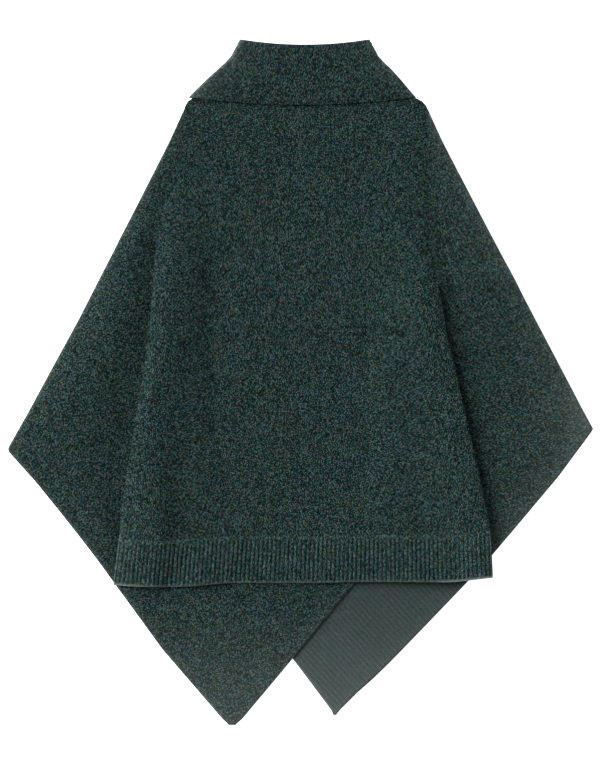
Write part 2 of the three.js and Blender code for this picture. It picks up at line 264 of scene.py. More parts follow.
def cover(cut, x, y, keep, fade):
    """1 on a piece and close round it, falling to 0 further away."""
    outside = smooth(1 - (cut.distance(x, y) - keep) / fade)
    return np.where(cut.contains(x, y), 1, outside)


BACK = Cut(BACK_ROWS)
LEFT = Cut(LEFT_ROWS)
RIGHT = Cut(RIGHT_ROWS, rounding=0.0015)
FRONT = Cut(FRONT_ROWS, rounding=0.0015)
LEFT_UNDERLAP = Cut([row for row in LEFT_ROWS if row[0] <= LEFT_UNDERLAP_Y])
RIGHT_UNDERLAP = Cut([row for row in RIGHT_ROWS if row[0] <= RIGHT_UNDERLAP_Y])
COLLAR = Cut([(y - FALL_DIP, COLLAR_X - half, COLLAR_X + half) for y, half in FALL_ROWS[1:]])


# Folds. Rolls along the two free edges, as rows from top to bottom: height on the garment, how high
# the roll is there, how far in its crest lies, what share of it is left at the edge, and how far
# beyond the edge it runs out.
LEFT_ROLL = [
    (0.320, 0.0000, 0.019, 0.25, 0.026),
    (0.270, 0.0013, 0.019, 0.25, 0.026),
    (0.220, 0.0042, 0.019, 0.25, 0.026),
    (0.170, 0.0071, 0.019, 0.25, 0.026),
    (0.120, 0.0084, 0.019, 0.25, 0.026),
]
RIGHT_ROLL = [
    (0.340, 0.0000, 0.014, 0.62, 0.020),
    (0.290, 0.0016, 0.014, 0.62, 0.020),
    (0.250, 0.0040, 0.014, 0.62, 0.020),
    (0.215, 0.0062, 0.014, 0.62, 0.020),
    (0.165, 0.0086, 0.014, 0.62, 0.022),
    (0.120, 0.0100, 0.013, 0.80, 0.026),
    (0.070, 0.0110, 0.012, 0.96, 0.034),
    (0.030, 0.0112, 0.012, 0.96, 0.036),
]
LEFT_ROLL_WIDTH = 0.092
RIGHT_ROLL_WIDTH = 0.098
HEM_ENDING = 0.026
# Near the hem the left roll is lower, down to this share within this reach, and its crest shifts in
# by this much between two heights.
LEFT_HEM_SHARE = 0.75
LEFT_HEM_REACH = 0.090
LEFT_CREST_SHIFT = (0.038, -0.030, -0.240)
# Lifts of the hem: middle, height, half width, depth.
HEM_LIFTS = [
    (-0.150, 0.0034, 0.060, 0.120),
    (0.040, 0.0016, 0.080, 0.090),
    (0.190, 0.0030, 0.080, 0.110),
]
# Soft ridges and troughs: start x, start y, end x, end y, height, half width.
BACK_FOLDS = [
    (-0.130, 0.290, -0.128, -0.080, -0.0014, 0.016),
    (-0.135, -0.060, -0.150, -0.200, -0.0010, 0.022),
    (0.075, 0.392, 0.150, 0.325, -0.0012, 0.022),
    (-0.050, 0.330, -0.020, 0.300, -0.0007, 0.020),
    (-0.160, 0.300, -0.120, 0.260, -0.0006, 0.018),
    (0.090, 0.060, 0.100, -0.190, -0.0010, 0.016),
    (0.140, 0.080, 0.190, -0.060, 0.0010, 0.030),
    (0.015, -0.130, 0.060, -0.185, -0.0010, 0.020),
    (-0.060, 0.010, -0.045, -0.160, 0.0007, 0.022),
    (-0.020, 0.160, 0.050, 0.120, 0.0008, 0.030),
    (-0.200, -0.200, -0.185, -0.300, 0.0014, 0.020),
    (-0.095, -0.190, -0.100, -0.300, 0.0010, 0.022),
    (0.110, -0.200, 0.125, -0.300, 0.0010, 0.020),
    (0.020, 0.400, 0.060, 0.230, 0.0007, 0.030),
]
LEFT_FOLDS = [
    (-0.335, 0.060, -0.380, -0.060, 0.0014, 0.022),
    (-0.300, 0.020, -0.330, -0.140, -0.0010, 0.018),
    (-0.250, -0.240, -0.215, -0.330, -0.0008, 0.014),
    (-0.192, -0.300, -0.190, -0.372, 0.0012, 0.012),
    (-0.120, -0.330, -0.100, -0.450, 0.0012, 0.024),
    (-0.040, -0.310, -0.070, -0.400, 0.0007, 0.020),
]
RIGHT_FOLDS = [
    (0.345, 0.100, 0.400, -0.010, 0.0012, 0.020),
    (0.320, 0.020, 0.340, -0.120, -0.0010, 0.020),
    (0.300, -0.120, 0.330, -0.200, 0.0008, 0.016),
]
FRONT_FOLDS = [
    (0.060, -0.330, 0.120, -0.410, 0.0008, 0.026),
    (0.140, -0.310, 0.190, -0.350, -0.0006, 0.020),
]


def soft_folds(folds, x, y):
    """Sum of ridges along short lines, each dying away towards its ends."""
    rise = np.zeros(np.shape(x))
    for x0, y0, x1, y1, height, width in folds:
        run = np.array([x1 - x0, y1 - y0])
        along = ((x - x0) * run[0] + (y - y0) * run[1]) / (run @ run)
        t = np.clip(along, 0, 1)
        gap = np.hypot(x - x0 - t * run[0], y - y0 - t * run[1])
        fullness = 0.35 + 0.65 * np.sin(math.pi * t)
        rise += height * fullness * np.exp(-((gap / width) ** 2))
    return rise


def uneven(x, y):
    """The small waves that a hand-laid knit keeps."""
    slow = np.sin(2 * math.pi * (x / 0.083 + 0.3 * np.sin(y / 0.049)))
    cross = np.sin(2 * math.pi * (y / 0.127 + 0.25 * np.sin(x / 0.036)) + 0.7)
    return 0.00022 * slow * cross + 0.00014 * np.sin(2 * math.pi * (x + 0.8 * y) / 0.057)


def roll(rows, width, inset, y, crest_shift=0):
    """Rise of a roll at some distance inside the back panel's edge, or outside it where negative."""
    fallen, heights, crests, edges, outsides = np.array([(-row[0], *row[1:]) for row in rows]).T
    height = np.interp(-y, fallen, heights)
    crest = np.interp(-y, fallen, crests) + crest_shift
    edge = np.interp(-y, fallen, edges)
    outside = np.interp(-y, fallen, outsides)
    rising = edge + (1 - edge) * np.sin(math.pi / 2 * np.clip(inset / crest, 0, 1))
    falling = smooth(1 - (inset - crest) / (width - crest))
    beyond = edge * smooth(1 + inset / outside)
    across = np.where(inset < 0, beyond, np.where(inset < crest, rising, falling))
    return height * across


def fold_rise(x, y):
    shift, shift_start, shift_end = LEFT_CREST_SHIFT
    crest_shift = shift * smooth((shift_start - y) / (shift_start - shift_end))
    kept = LEFT_HEM_SHARE + (1 - LEFT_HEM_SHARE) * smooth((y - HEM_Y) / LEFT_HEM_REACH)
    inside_left = x - BACK.side("left", y)
    inside_right = BACK.side("right", y) - x
    from_left = kept * roll(LEFT_ROLL, LEFT_ROLL_WIDTH, inside_left, y, crest_shift)
    from_right = roll(RIGHT_ROLL, RIGHT_ROLL_WIDTH, inside_right, y)
    ending = smooth(1 + (y - HEM_Y) / HEM_ENDING)
    return (from_left + from_right) * ending


def front_height(x, y):
    return LAYER * cover(COLLAR, x, y, COLLAR_KEEP, COLLAR_FADE) + lying_folds(FRONT_FOLDS, x, y)


def lying_folds(folds, x, y):
    """Folds of a piece that lies on the ground, which never go below it."""
    return np.maximum(soft_folds(folds, x, y), 0)


def over_front(x, y):
    """Height for whatever lies over the front panel, down to the ground past its edge."""
    over_collar = LAYER * cover(COLLAR, x, y, COLLAR_KEEP + KEEP / 2, COLLAR_FADE)
    return over_collar + LAYER * cover(FRONT, x, y, KEEP, FRONT_FADE)


def puff(cut, x, y):
    return PUFF * smooth(cut.distance(x, y) / PUFF_WIDTH)


# Humps of the two wings between their outer edge and the back panel's edge
LEFT_HUMP = 0.0105
RIGHT_HUMP = 0.0016
HUMP_GAP = 0.004
HUMP_FROM_Y = 0.330
HUMP_FULL_Y = 0.100
HUMP_END = 0.070
LEFT_LOW_EDGE = np.array([(-0.4395, -0.1010), (-0.2973, -0.2750), (-0.2058, -0.4010)])
RIGHT_LOW_EDGE = np.array([(0.4395, -0.0700), (0.3870, -0.1410), (0.3189, -0.2220), (0.2512, -0.2990)])


def hump(height, outer, inner, low_edge, x, y):
    t = np.clip((x - outer) / (inner - outer), 0, 1)
    grown = smooth((HUMP_FROM_Y - y) / (HUMP_FROM_Y - HUMP_FULL_Y))
    ending = smooth(distance_to_line(low_edge, x, y) / HUMP_END)
    return height * np.sin(math.pi * t) * grown * ending


def lap_rise(x, y):
    """Rise of the back where it begins to lie over the wings, left and right."""
    left = cover(LEFT_UNDERLAP, x, y, KEEP, WING_FADE)
    right = cover(RIGHT_UNDERLAP, x, y, KEEP, WING_FADE)
    left_grown = smooth((LEFT_UNDERLAP_Y + LAP_FADE - y) / LAP_FADE)
    right_grown = smooth((RIGHT_UNDERLAP_Y + LAP_FADE - y) / LAP_FADE)
    return (LAYER + PUFF) * left * left_grown, (LAYER + PUFF) * right * right_grown


def wing_share(lowest, slit_y, y):
    """Both layers rise alike down to the slit's top, and less and less so below it."""
    return lowest + (1 - lowest) * smooth(1 - (slit_y - y) / SHARE_FADE)


def left_height(x, y):
    on_front = cover(FRONT, x, y, KEEP, FRONT_FADE)
    inner = BACK.side("left", y) - HUMP_GAP
    rise = hump(LEFT_HUMP, LEFT.side("left", y), inner, LEFT_LOW_EDGE, x, y)
    folds = lying_folds(LEFT_FOLDS, x, y)
    shared = wing_share(LEFT_SHARE, SLIT_LEFT_Y, y) * fold_rise(x, y)
    sewn = smooth((y - LEFT_UNDERLAP_Y) / (SLIT_LEFT_Y - LEFT_UNDERLAP_Y))
    shared += lap_rise(x, y)[0] * sewn
    return over_front(x, y) + on_front * puff(LEFT, x, y) + shared + rise + folds


def right_height(x, y):
    on_front = cover(FRONT, x, y, KEEP, FRONT_FADE)
    inner = BACK.side("right", y) + HUMP_GAP
    rise = hump(RIGHT_HUMP, RIGHT.side("right", y), inner, RIGHT_LOW_EDGE, x, y)
    folds = lying_folds(RIGHT_FOLDS, x, y)
    shared = wing_share(RIGHT_SHARE, SLIT_RIGHT_Y, y) * fold_rise(x, y)
    sewn = smooth((y - RIGHT_UNDERLAP_Y) / (SLIT_RIGHT_Y - RIGHT_UNDERLAP_Y))
    shared += lap_rise(x, y)[1] * sewn
    return over_front(x, y) + on_front * puff(RIGHT, x, y) + shared + rise + folds


def hem_y(x):
    bends = [rise * smooth((x - start) / (end - start)) for start, end, rise in HEM_BENDS]
    return HEM_Y + sum(bends)


def hem_lift(x, y):
    rise = np.zeros(np.shape(x))
    for middle, height, width, depth in HEM_LIFTS:
        rise += height * smooth(1 - abs(x - middle) / width) * smooth(1 - (y - HEM_Y) / depth)
    return rise


def back_height(x, y):
    on_wing = np.maximum(*lap_rise(x, y))
    free = 1 - cover(COLLAR, x, y, 0, COLLAR_FADE)
    own = free * (puff(BACK, x, y) + 0.0012 + soft_folds(BACK_FOLDS, x, y) + uneven(x, y))
    joined = smooth(BACK.distance(x, y) / 0.03)
    return over_front(x, y) + on_wing + own * joined + fold_rise(x, y) + hem_lift(x, y)


# Painted light along the garment's outline, standing for the light that fuzz along the edges catches:
# for each edge its panel and side, the heights between which it lies free, how strong the painted
# light is right at the edge and further in, and how far in it reaches.
PAINTED_LIGHT_EDGES = [
    (LEFT, "left", 0.404, -0.1010, 0.45, 0.04, 0.018),
    (LEFT, "left", -0.1010, -0.5135, 0.45, 0.04, 0.022),
    (LEFT, "right", -0.300, -0.5135, 0.30, 0.05, 0.022),
    (FRONT, "left", -0.405, -0.4985, 0.30, 0.06, 0.012),
    (FRONT, "right", -0.295, -0.4985, 0.35, 0.10, 0.012),
    (RIGHT, "right", 0.404, -0.070, 0.45, 0.16, 0.022),
    (RIGHT, "right", -0.030, -0.070, 0.00, 0.28, 0.033),
    (RIGHT, "right", -0.070, -0.286, 0.45, 0.27, 0.033),
    (BACK, "left", -0.232, -0.298, 0.30, 0.06, 0.030),
    (BACK, "right", -0.232, -0.298, 0.30, 0.03, 0.022),
]
# Both ends of the collar get painted light too, stronger at the left end, the side the light comes
# from. Painted light also grows towards the panels' lower corners, and all of it is capped.
COLLAR_LEFT_PAINTED_LIGHT = (0.40, 0.32, 0.014)
COLLAR_RIGHT_PAINTED_LIGHT = (0.40, 0.14, 0.010)
PAINTED_LIGHT_REACH = 0.0026
CORNER_PAINTED_LIGHT = 0.30
CORNER_Y = -0.300
CORNER_FADE = 0.240
MOST_PAINTED_LIGHT = 0.60


def free_edge(cut, name, start, end):
    """Points of one side of a cut between two heights."""
    corners = [-fallen for fallen in cut.fallen if end < -fallen < start]
    heights = np.array([start, *corners, end])
    return np.stack([cut.side(name, heights), heights], 1)


def painted_light_near(points, strengths, x, y):
    near, wide, reach = strengths
    gap = distance_to_line(points, x, y)
    return near * np.exp(-gap / PAINTED_LIGHT_REACH) + wide * np.exp(-gap / reach)


def panel_painted_light(cut, x, y):
    painted_edge_light = CORNER_PAINTED_LIGHT * smooth((CORNER_Y - y) / CORNER_FADE)
    for owner, name, start, end, *strengths in PAINTED_LIGHT_EDGES:
        if owner is cut:
            painted_edge_light += painted_light_near(free_edge(cut, name, start, end), strengths, x, y)
    return np.clip(painted_edge_light, 0, MOST_PAINTED_LIGHT)


def collar_painted_light(x, y):
    """The same painted light along both ends of the collar."""
    rows = [(FOLD_TOP, FOLD_HALF), *FALL_ROWS]
    left = np.array([(COLLAR_X - half, height) for height, half in rows])
    right = np.array([(COLLAR_X + half, height) for height, half in rows])
    painted_edge_light = painted_light_near(left, COLLAR_LEFT_PAINTED_LIGHT, x, y) + painted_light_near(right, COLLAR_RIGHT_PAINTED_LIGHT, x, y)
    return np.clip(painted_edge_light, 0, MOST_PAINTED_LIGHT)


# Meshes

# A free edge thins out over its last few millimetres, and a sewn one is cut square.
RIM_ROUND = np.array([0, 0.0005, 0.0018, 0.0045])
RIM_SQUARE = np.array([0, 0.00002, 0.0018, 0.0045])
RIM_FULLNESS_ROUND = np.array([0, 0.45, 0.80, 1])
RIM_FULLNESS_SQUARE = np.array([0, 1, 1, 1])
EDGE_HEIGHT = 0.40


def rim(roundness):
    """Distances from an edge of the columns along it, and how thick the wall is at each."""
    offsets = RIM_SQUARE + (RIM_ROUND - RIM_SQUARE) * roundness
    fullness = RIM_FULLNESS_SQUARE + (RIM_FULLNESS_ROUND - RIM_FULLNESS_SQUARE) * roundness
    return offsets, fullness


def row_heights(cut, step, round_top, round_bottom, fine_below=None, fine_step=None):
    """Heights of the mesh rows from top to bottom, and the wall's fullness at each."""
    top_offsets, top_fullness = rim(round_top)
    low_offsets, low_fullness = rim(round_bottom)
    start = cut.top - top_offsets[-1]
    stop = cut.bottom + low_offsets[-1]
    if fine_below is None:
        middle = np.linspace(start, stop, round((start - stop) / step) + 1)
    else:
        coarse = np.linspace(start, fine_below, round((start - fine_below) / step) + 1)
        fine = np.linspace(fine_below, stop, round((fine_below - stop) / fine_step) + 1)
        middle = np.concatenate([coarse[:-1], fine])
    heights = np.concatenate(
        [cut.top - top_offsets[:-1], middle, (cut.bottom + low_offsets[:-1])[::-1]]
    )
    fullness = np.concatenate(
        [top_fullness[:-1], np.ones(len(middle)), low_fullness[:-1][::-1]]
    )
    return heights, fullness


def slant(cut, name, y):
    """How much longer a level step into an edge is than a square one."""
    reach = 0.004
    slope = (cut.soft_side(name, y + reach) - cut.soft_side(name, y - reach)) / (2 * reach)
    return math.hypot(1, slope)


def panel_grid(cut, heights, columns, roundness):
    """Points and fullness of a panel's mesh: rows down the panel, columns across it."""
    rows = []
    fullness = []
    for y in heights:
        left = cut.soft_side("left", y)
        right = cut.soft_side("right", y)
        width = right - left
        round_left, round_right = roundness(y)
        left_offsets, left_fullness = rim(round_left)
        right_offsets, right_fullness = rim(round_right)
        narrow = min(1, 0.25 * width / (RIM_ROUND[-1] * 1.6))
        left_offsets = left_offsets * min(slant(cut, "left", y), 1.6) * narrow
        right_offsets = right_offsets * min(slant(cut, "right", y), 1.6) * narrow
        middle = np.linspace(left + left_offsets[-1], right - right_offsets[-1], columns + 1)
        rows.append(
            np.concatenate([left + left_offsets[:-1], middle, (right - right_offsets[:-1])[::-1]])
        )
        fullness.append(
            np.concatenate([left_fullness[:-1], np.ones(len(middle)), right_fullness[:-1][::-1]])
        )
    x = np.array(rows)
    y = np.repeat(heights[:, None], x.shape[1], axis=1)
    return x, y, np.array(fullness)


def shell(name, x, y, bottom, thickness, fullness, upper_relief=0):
    """Closed mesh from a grid: an upper and a lower face that share the grid's outer points."""
    rows, columns = x.shape
    edge = bottom + thickness * EDGE_HEIGHT
    upper = edge + fullness * (thickness * (1 - EDGE_HEIGHT) + upper_relief)
    lower = edge - fullness * thickness * EDGE_HEIGHT
    inner = np.zeros((rows, columns), bool)
    inner[1:-1, 1:-1] = True
    top_index = np.arange(rows * columns).reshape(rows, columns)
    low_index = top_index.copy()
    low_index[inner] = rows * columns + np.arange(inner.sum())
    points = np.concatenate(
        [
            np.stack([x.ravel(), y.ravel(), upper.ravel()], 1),
            np.stack([x[inner], y[inner], lower[inner]], 1),
        ]
    )
    top_quads = np.stack(
        [top_index[:-1, :-1], top_index[1:, :-1], top_index[1:, 1:], top_index[:-1, 1:]], -1
    )
    low_quads = np.stack(
        [low_index[:-1, :-1], low_index[:-1, 1:], low_index[1:, 1:], low_index[1:, :-1]], -1
    )
    faces = np.concatenate([top_quads.reshape(-1, 4), low_quads.reshape(-1, 4)])
    mesh = bpy.data.meshes.new(name)
    mesh.from_pydata(points.tolist(), [], faces.tolist())
    lower_faces = np.zeros(len(faces), np.int32)
    lower_faces[len(faces) // 2:] = 1
    mesh.polygons.foreach_set("material_index", lower_faces)
    return finish_mesh(name, mesh, points)


def finish_mesh(name, mesh, points):
    mesh.polygons.foreach_set("use_smooth", np.ones(len(mesh.polygons), bool))
    mesh.set_sharp_from_angle(angle=math.radians(58))
    mesh.update()
    piece = bpy.data.objects.new(name, mesh)
    bpy.context.scene.collection.objects.link(piece)
    return piece, points


def paint(piece, name, values):
    """Stores a number, or a vector, for each point of a piece under a name."""
    kind = "FLOAT" if values.ndim == 1 else "FLOAT_VECTOR"
    attribute = piece.data.attributes.new(name, kind, "POINT")
    field = "value" if kind == "FLOAT" else "vector"
    attribute.data.foreach_set(field, values.astype(np.float32).ravel())


def paint_knit(piece, points, turn, cut):
    """Stores where each point lies along the wales and courses, and how much painted light it gets
    along the outline.
    """
    angle = math.radians(turn)
    x, y = points[:, 0], points[:, 1]
    across = x * math.cos(angle) + y * math.sin(angle)
    along = -x * math.sin(angle) + y * math.cos(angle)
    paint(piece, "knit", np.stack([across, along, points[:, 2]], 1))
    paint(piece, "painted_edge_light", collar_painted_light(x, y) if cut is COLLAR else panel_painted_light(cut, x, y))


# Materials

# Width of a column of stitches, height of a row, how much the columns sway, and how steep a leg is
WALE = 0.0030
COURSE = 0.0015
SWAY = 0.0010
LEG_SLOPE = 1.3
# Painted light along the outline: its colour, how much of it covers the yarn, and how much it lightens
# the yarn
PAINTED_LIGHT_COLOUR = (0.142, 0.145, 0.134)
PAINTED_LIGHT_COVERS = 0.65
PAINTED_LIGHT_GAIN = 1.7
# Dull wool with a faint sheen
ROUGHNESS = 0.92
SPECULAR = 0.03
SHEEN = 0.01
SHEEN_TINT = (0.55, 0.72, 0.68, 1)


class Graph:
    """Short ways to add and join nodes of one material."""

    def __init__(self, name):
        self.material = bpy.data.materials.new(name)
        self.material.use_nodes = True
        self.tree = self.material.node_tree
        self.shader = self.tree.nodes["Principled BSDF"]

    def add(self, kind, **settings):
        node = self.tree.nodes.new(kind)
        for key, value in settings.items():
            setattr(node, key, value)
        return node

    def join(self, source, target):
        if isinstance(source, (int, float, tuple)):
            target.default_value = source
        else:
            self.tree.links.new(source, target)

    def math(self, operation, *values):
        node = self.add("ShaderNodeMath", operation=operation)
        for value, socket in zip(values, node.inputs):
            self.join(value, socket)
        return node.outputs[0]

    def vector(self, x, y, z):
        node = self.add("ShaderNodeCombineXYZ")
        for value, socket in zip((x, y, z), node.inputs):
            self.join(value, socket)
        return node.outputs[0]

    def attribute(self, name, output="Fac"):
        return self.add("ShaderNodeAttribute", attribute_name=name).outputs[output]

    def parts(self, vector):
        node = self.add("ShaderNodeSeparateXYZ")
        self.join(vector, node.inputs[0])
        return node.outputs

    def noise(self, vector, scale, detail=2.0):
        node = self.add("ShaderNodeTexNoise", noise_dimensions="3D")
        self.join(vector, node.inputs["Vector"])
        node.inputs["Scale"].default_value = scale
        node.inputs["Detail"].default_value = detail
        return node.outputs["Fac"]

    def random(self, vector):
        node = self.add("ShaderNodeTexWhiteNoise", noise_dimensions="3D")
        self.join(vector, node.inputs["Vector"])
        return node.outputs["Value"]

    def ramp(self, value, stops):
        node = self.add("ShaderNodeValToRGB")
        elements = node.color_ramp.elements
        while len(elements) < len(stops):
            elements.new(0.5)
        for element, (position, colour) in zip(elements, stops):
            element.position = position
            element.color = (*colour, 1)
        self.join(value, node.inputs[0])
        return node.outputs[0]

    def mix(self, factor, first, second):
        node = self.add("ShaderNodeMix", data_type="RGBA")
        self.join(factor, node.inputs["Factor"])
        colours = [socket for socket in node.inputs if socket.type == "RGBA"]
        for value, socket in zip((first, second), colours):
            self.join(value if not isinstance(value, tuple) else (*value, 1), socket)
        return next(socket for socket in node.outputs if socket.type == "RGBA")

    def scale(self, colour, factor):
        node = self.add("ShaderNodeVectorMath", operation="SCALE")
        self.join(colour, node.inputs[0])
        self.join(factor, node.inputs["Scale"])
        return node.outputs[0]

    def tint(self, colour, red, green, blue, warmth):
        """Multiplies the three parts of a colour, then adds a little red."""
        node = self.add("ShaderNodeVectorMath", operation="MULTIPLY_ADD")
        self.join(colour, node.inputs[0])
        self.join(self.vector(red, green, blue), node.inputs[1])
        self.join(self.vector(warmth, 0.0, 0.0), node.inputs[2])
        return node.outputs[0]

    def drift(self, vector, scale, amount):
        """A factor that wanders round 1."""
        return self.math("MULTIPLY_ADD", self.noise(vector, scale, 1.0), amount, 1 - amount / 2)

    def bump(self, height, distance):
        node = self.add("ShaderNodeBump")
        node.inputs["Strength"].default_value = 1.0
        node.inputs["Distance"].default_value = distance
        self.join(height, node.inputs["Height"])
        self.join(node.outputs[0], self.shader.inputs["Normal"])

    def finish(self, colour):
        # Painted light along the outline: the yarn is lightened and mixed towards a pale grey green.
        painted_edge_light = self.attribute("painted_edge_light")
        colour = self.scale(colour, self.math("MULTIPLY_ADD", painted_edge_light, PAINTED_LIGHT_GAIN, 1.0))
        colour = self.mix(self.math("MULTIPLY", painted_edge_light, PAINTED_LIGHT_COVERS), colour, PAINTED_LIGHT_COLOUR)
        self.join(colour, self.shader.inputs["Base Color"])
        self.shader.inputs["Roughness"].default_value = ROUGHNESS
        self.shader.inputs["Specular IOR Level"].default_value = SPECULAR
        self.shader.inputs["Sheen Weight"].default_value = SHEEN
        self.shader.inputs["Sheen Roughness"].default_value = 0.5
        self.shader.inputs["Sheen Tint"].default_value = SHEEN_TINT
        return self.material


def stitch_legs(graph):
    """Right side of a plain knit: every wale is a column of V stitches, each with two slanted legs."""
    knit = graph.attribute("knit", "Vector")
    across, along, _ = graph.parts(knit)
    sway = graph.math("SUBTRACT", graph.noise(knit, 90), 0.5)
    wale = graph.math("DIVIDE", graph.math("MULTIPLY_ADD", sway, SWAY, across), WALE)
    slope = graph.math("MULTIPLY", graph.math("PINGPONG", wale, 0.5), LEG_SLOPE)
    course = graph.math("ADD", graph.math("DIVIDE", along, COURSE), slope)
    course = graph.math("MULTIPLY_ADD", sway, 0.5, course)
    leg = graph.math("MULTIPLY", wale, 2)
    cell = graph.vector(graph.math("FLOOR", leg), graph.math("FLOOR", course), 3.0)
    leg_round = graph.math("SINE", graph.math("MULTIPLY", graph.math("FRACT", leg), math.pi))
    row_round = graph.math("SINE", graph.math("MULTIPLY", graph.math("FRACT", course), math.pi))
    height = graph.math("MULTIPLY", leg_round, graph.math("MULTIPLY_ADD", row_round, 0.45, 0.55))
    return knit, cell, height


# Yarn colours, from the darkest fleck to the lightest
FLECKS = [
    (0.00, (0.0022, 0.0046, 0.0042)),
    (0.32, (0.0055, 0.0115, 0.0105)),
    (0.56, (0.0200, 0.0370, 0.0330)),
    (0.80, (0.0430, 0.0800, 0.0710)),
    (1.00, (0.0900, 0.1500, 0.1360)),
]
BROWN_FLECK = (0.030, 0.024, 0.018)
BLUE_FLECK = (0.026, 0.058, 0.078)
BLUE_SHARE = 0.22
FLECK_CONTRAST = 1.04
# Slow and fine drifts of the dye: how fine each is, and how far it goes
TONE_DRIFT = (14, 0.06)
STREAK_DRIFT = (330, 0.20)
RED_DRIFT = (175, 1.7)
FINE_BLUE_DRIFT = (115, 0.85)
SLOW_BLUE_DRIFT = (20, 0.28)
WARMTH = 0.006
# Rib: its contrast, how light it is on the ribs, how much painted shade darkens the grooves, and the
# colour of the painted highlight on its last row
RIB_CONTRAST = 0.88
RIB_GAIN = 1.69
GROOVE_SHADE = 1.32
HEM_HIGHLIGHT_COLOUR = (0.260, 0.310, 0.290)
# Fineness of the loose fibres, and depth of the stitches' relief
LOOSE_FIBRES = 2200
STITCH_RELIEF = 0.0006


def flecked_colour(graph, knit, cell, height, contrast):
    """Yarn in two tones: each leg of each stitch takes a tone of its own."""
    chance = graph.random(cell)
    cloudy = graph.math("SUBTRACT", graph.noise(knit, 240, 1.0), 0.5)
    tone = graph.math("MULTIPLY_ADD", cloudy, 0.04, chance)
    tone = graph.math("MULTIPLY_ADD", graph.math("SUBTRACT", tone, 0.5), contrast, 0.5)
    yarn = graph.ramp(tone, FLECKS)
    other = graph.random(graph.scale(cell, 1.37))
    yarn = graph.mix(graph.math("MULTIPLY", other, BLUE_SHARE), yarn, BLUE_FLECK)
    brown = graph.math("MULTIPLY", graph.math("GREATER_THAN", other, 0.94), 0.6)
    yarn = graph.mix(brown, yarn, BROWN_FLECK)
    fibre = graph.math("MULTIPLY_ADD", graph.noise(knit, 1500, 2.0), 0.5, 0.75)
    # Painted shade: the yarn is darker where the stitch dips between its legs.
    depth = graph.math("MULTIPLY_ADD", height, 0.55, 0.55)
    shade = graph.math("MULTIPLY", fibre, depth)
    patch = graph.drift(knit, *TONE_DRIFT)
    across, along, _ = graph.parts(knit)
    along_course = graph.vector(graph.math("MULTIPLY", across, 0.1), along, 0.0)
    streak = graph.drift(along_course, *STREAK_DRIFT)
    shade = graph.math("MULTIPLY", graph.math("MULTIPLY", shade, patch), streak)
    red = graph.drift(knit, *RED_DRIFT)
    fine_blue = graph.drift(graph.scale(knit, 0.91), *FINE_BLUE_DRIFT)
    blue = graph.math("MULTIPLY", fine_blue, graph.drift(knit, *SLOW_BLUE_DRIFT))
    warmth = graph.math("MULTIPLY_ADD", red, WARMTH, -WARMTH)
    return graph.scale(graph.tint(yarn, red, 1.0, blue, warmth), shade)


def stitch_relief(graph, knit, height):
    """Fine relief of the stitches with their loose fibres."""
    fibres = graph.noise(knit, LOOSE_FIBRES, 3.0)
    graph.bump(graph.math("MULTIPLY_ADD", fibres, 0.35, height), STITCH_RELIEF)


def flecked_knit(name):
    graph = Graph(name)
    knit, cell, height = stitch_legs(graph)
    colour = flecked_colour(graph, knit, cell, height, FLECK_CONTRAST)
    stitch_relief(graph, knit, height)
    return graph.finish(colour)


def rib_knit(name):
    """One-by-one rib: painted shade darkens the grooves, a painted highlight lightens its last row,
    and each rib is a column of stitches.
    """
    graph = Graph(name)
    knit, cell, height = stitch_legs(graph)
    colour = flecked_colour(graph, knit, cell, height, RIB_CONTRAST)
    groove_shade = graph.attribute("groove_shade")
    colour = graph.scale(colour, graph.math("MULTIPLY_ADD", groove_shade, -GROOVE_SHADE, RIB_GAIN))
    # Painted highlight on the hem's last row.
    colour = graph.mix(graph.attribute("painted_hem_highlight"), colour, HEM_HIGHLIGHT_COLOUR)
    stitch_relief(graph, knit, height)
    return graph.finish(colour)


# Wrong side: distance between its lines and their height, height of a loop, and its two colours
LINE_PITCH = 0.00675
LINE_RELIEF = 0.00028
REVERSE_COURSE = 0.0021
REVERSE_GREEN = (0.0370, 0.0600, 0.0560)
REVERSE_GREY = (0.0450, 0.0600, 0.0590)
# How dark its lines are, and how far single loops and fibres differ in tone
LINE_DARKENING = 0.26
LOOP_RANGE = 0.40
GRAIN_RANGE = 0.60


def reverse_knit(name):
    """Wrong side: plain and grey green, with a fine line for every other wale."""
    graph = Graph(name)
    knit = graph.attribute("knit", "Vector")
    across, along, _ = graph.parts(knit)
    sway = graph.math("SUBTRACT", graph.noise(knit, 60), 0.5)
    line = graph.math("DIVIDE", graph.math("MULTIPLY_ADD", sway, 0.0012, across), LINE_PITCH)
    swing = graph.math("SINE", graph.math("MULTIPLY", line, 2 * math.pi))
    valley = graph.math("POWER", graph.math("MULTIPLY_ADD", swing, 0.5, 0.5), 3.0)
    purl = graph.math("SINE", graph.math("MULTIPLY", along, 2 * math.pi / COURSE))
    loop_cell = graph.vector(
        graph.math("FLOOR", graph.math("MULTIPLY", line, 4)),
        graph.math("FLOOR", graph.math("DIVIDE", along, REVERSE_COURSE)),
        5.0,
    )
    loop = graph.random(loop_cell)
    grain = graph.noise(knit, 620, 2.0)
    shade = graph.math("MULTIPLY_ADD", valley, -LINE_DARKENING, 1.02)
    looped = graph.math("MULTIPLY_ADD", loop, LOOP_RANGE, -LOOP_RANGE / 2)
    grained = graph.math("MULTIPLY_ADD", grain, GRAIN_RANGE, -GRAIN_RANGE / 2)
    shade = graph.math("ADD", graph.math("ADD", shade, looped), grained)
    colour = graph.mix(graph.noise(knit, 22, 2.0), REVERSE_GREEN, REVERSE_GREY)
    relief = graph.math("MULTIPLY_ADD", purl, 0.25, graph.math("ADD", grain, loop))
    graph.bump(relief, 0.0004)
    return graph.finish(graph.scale(colour, shade))


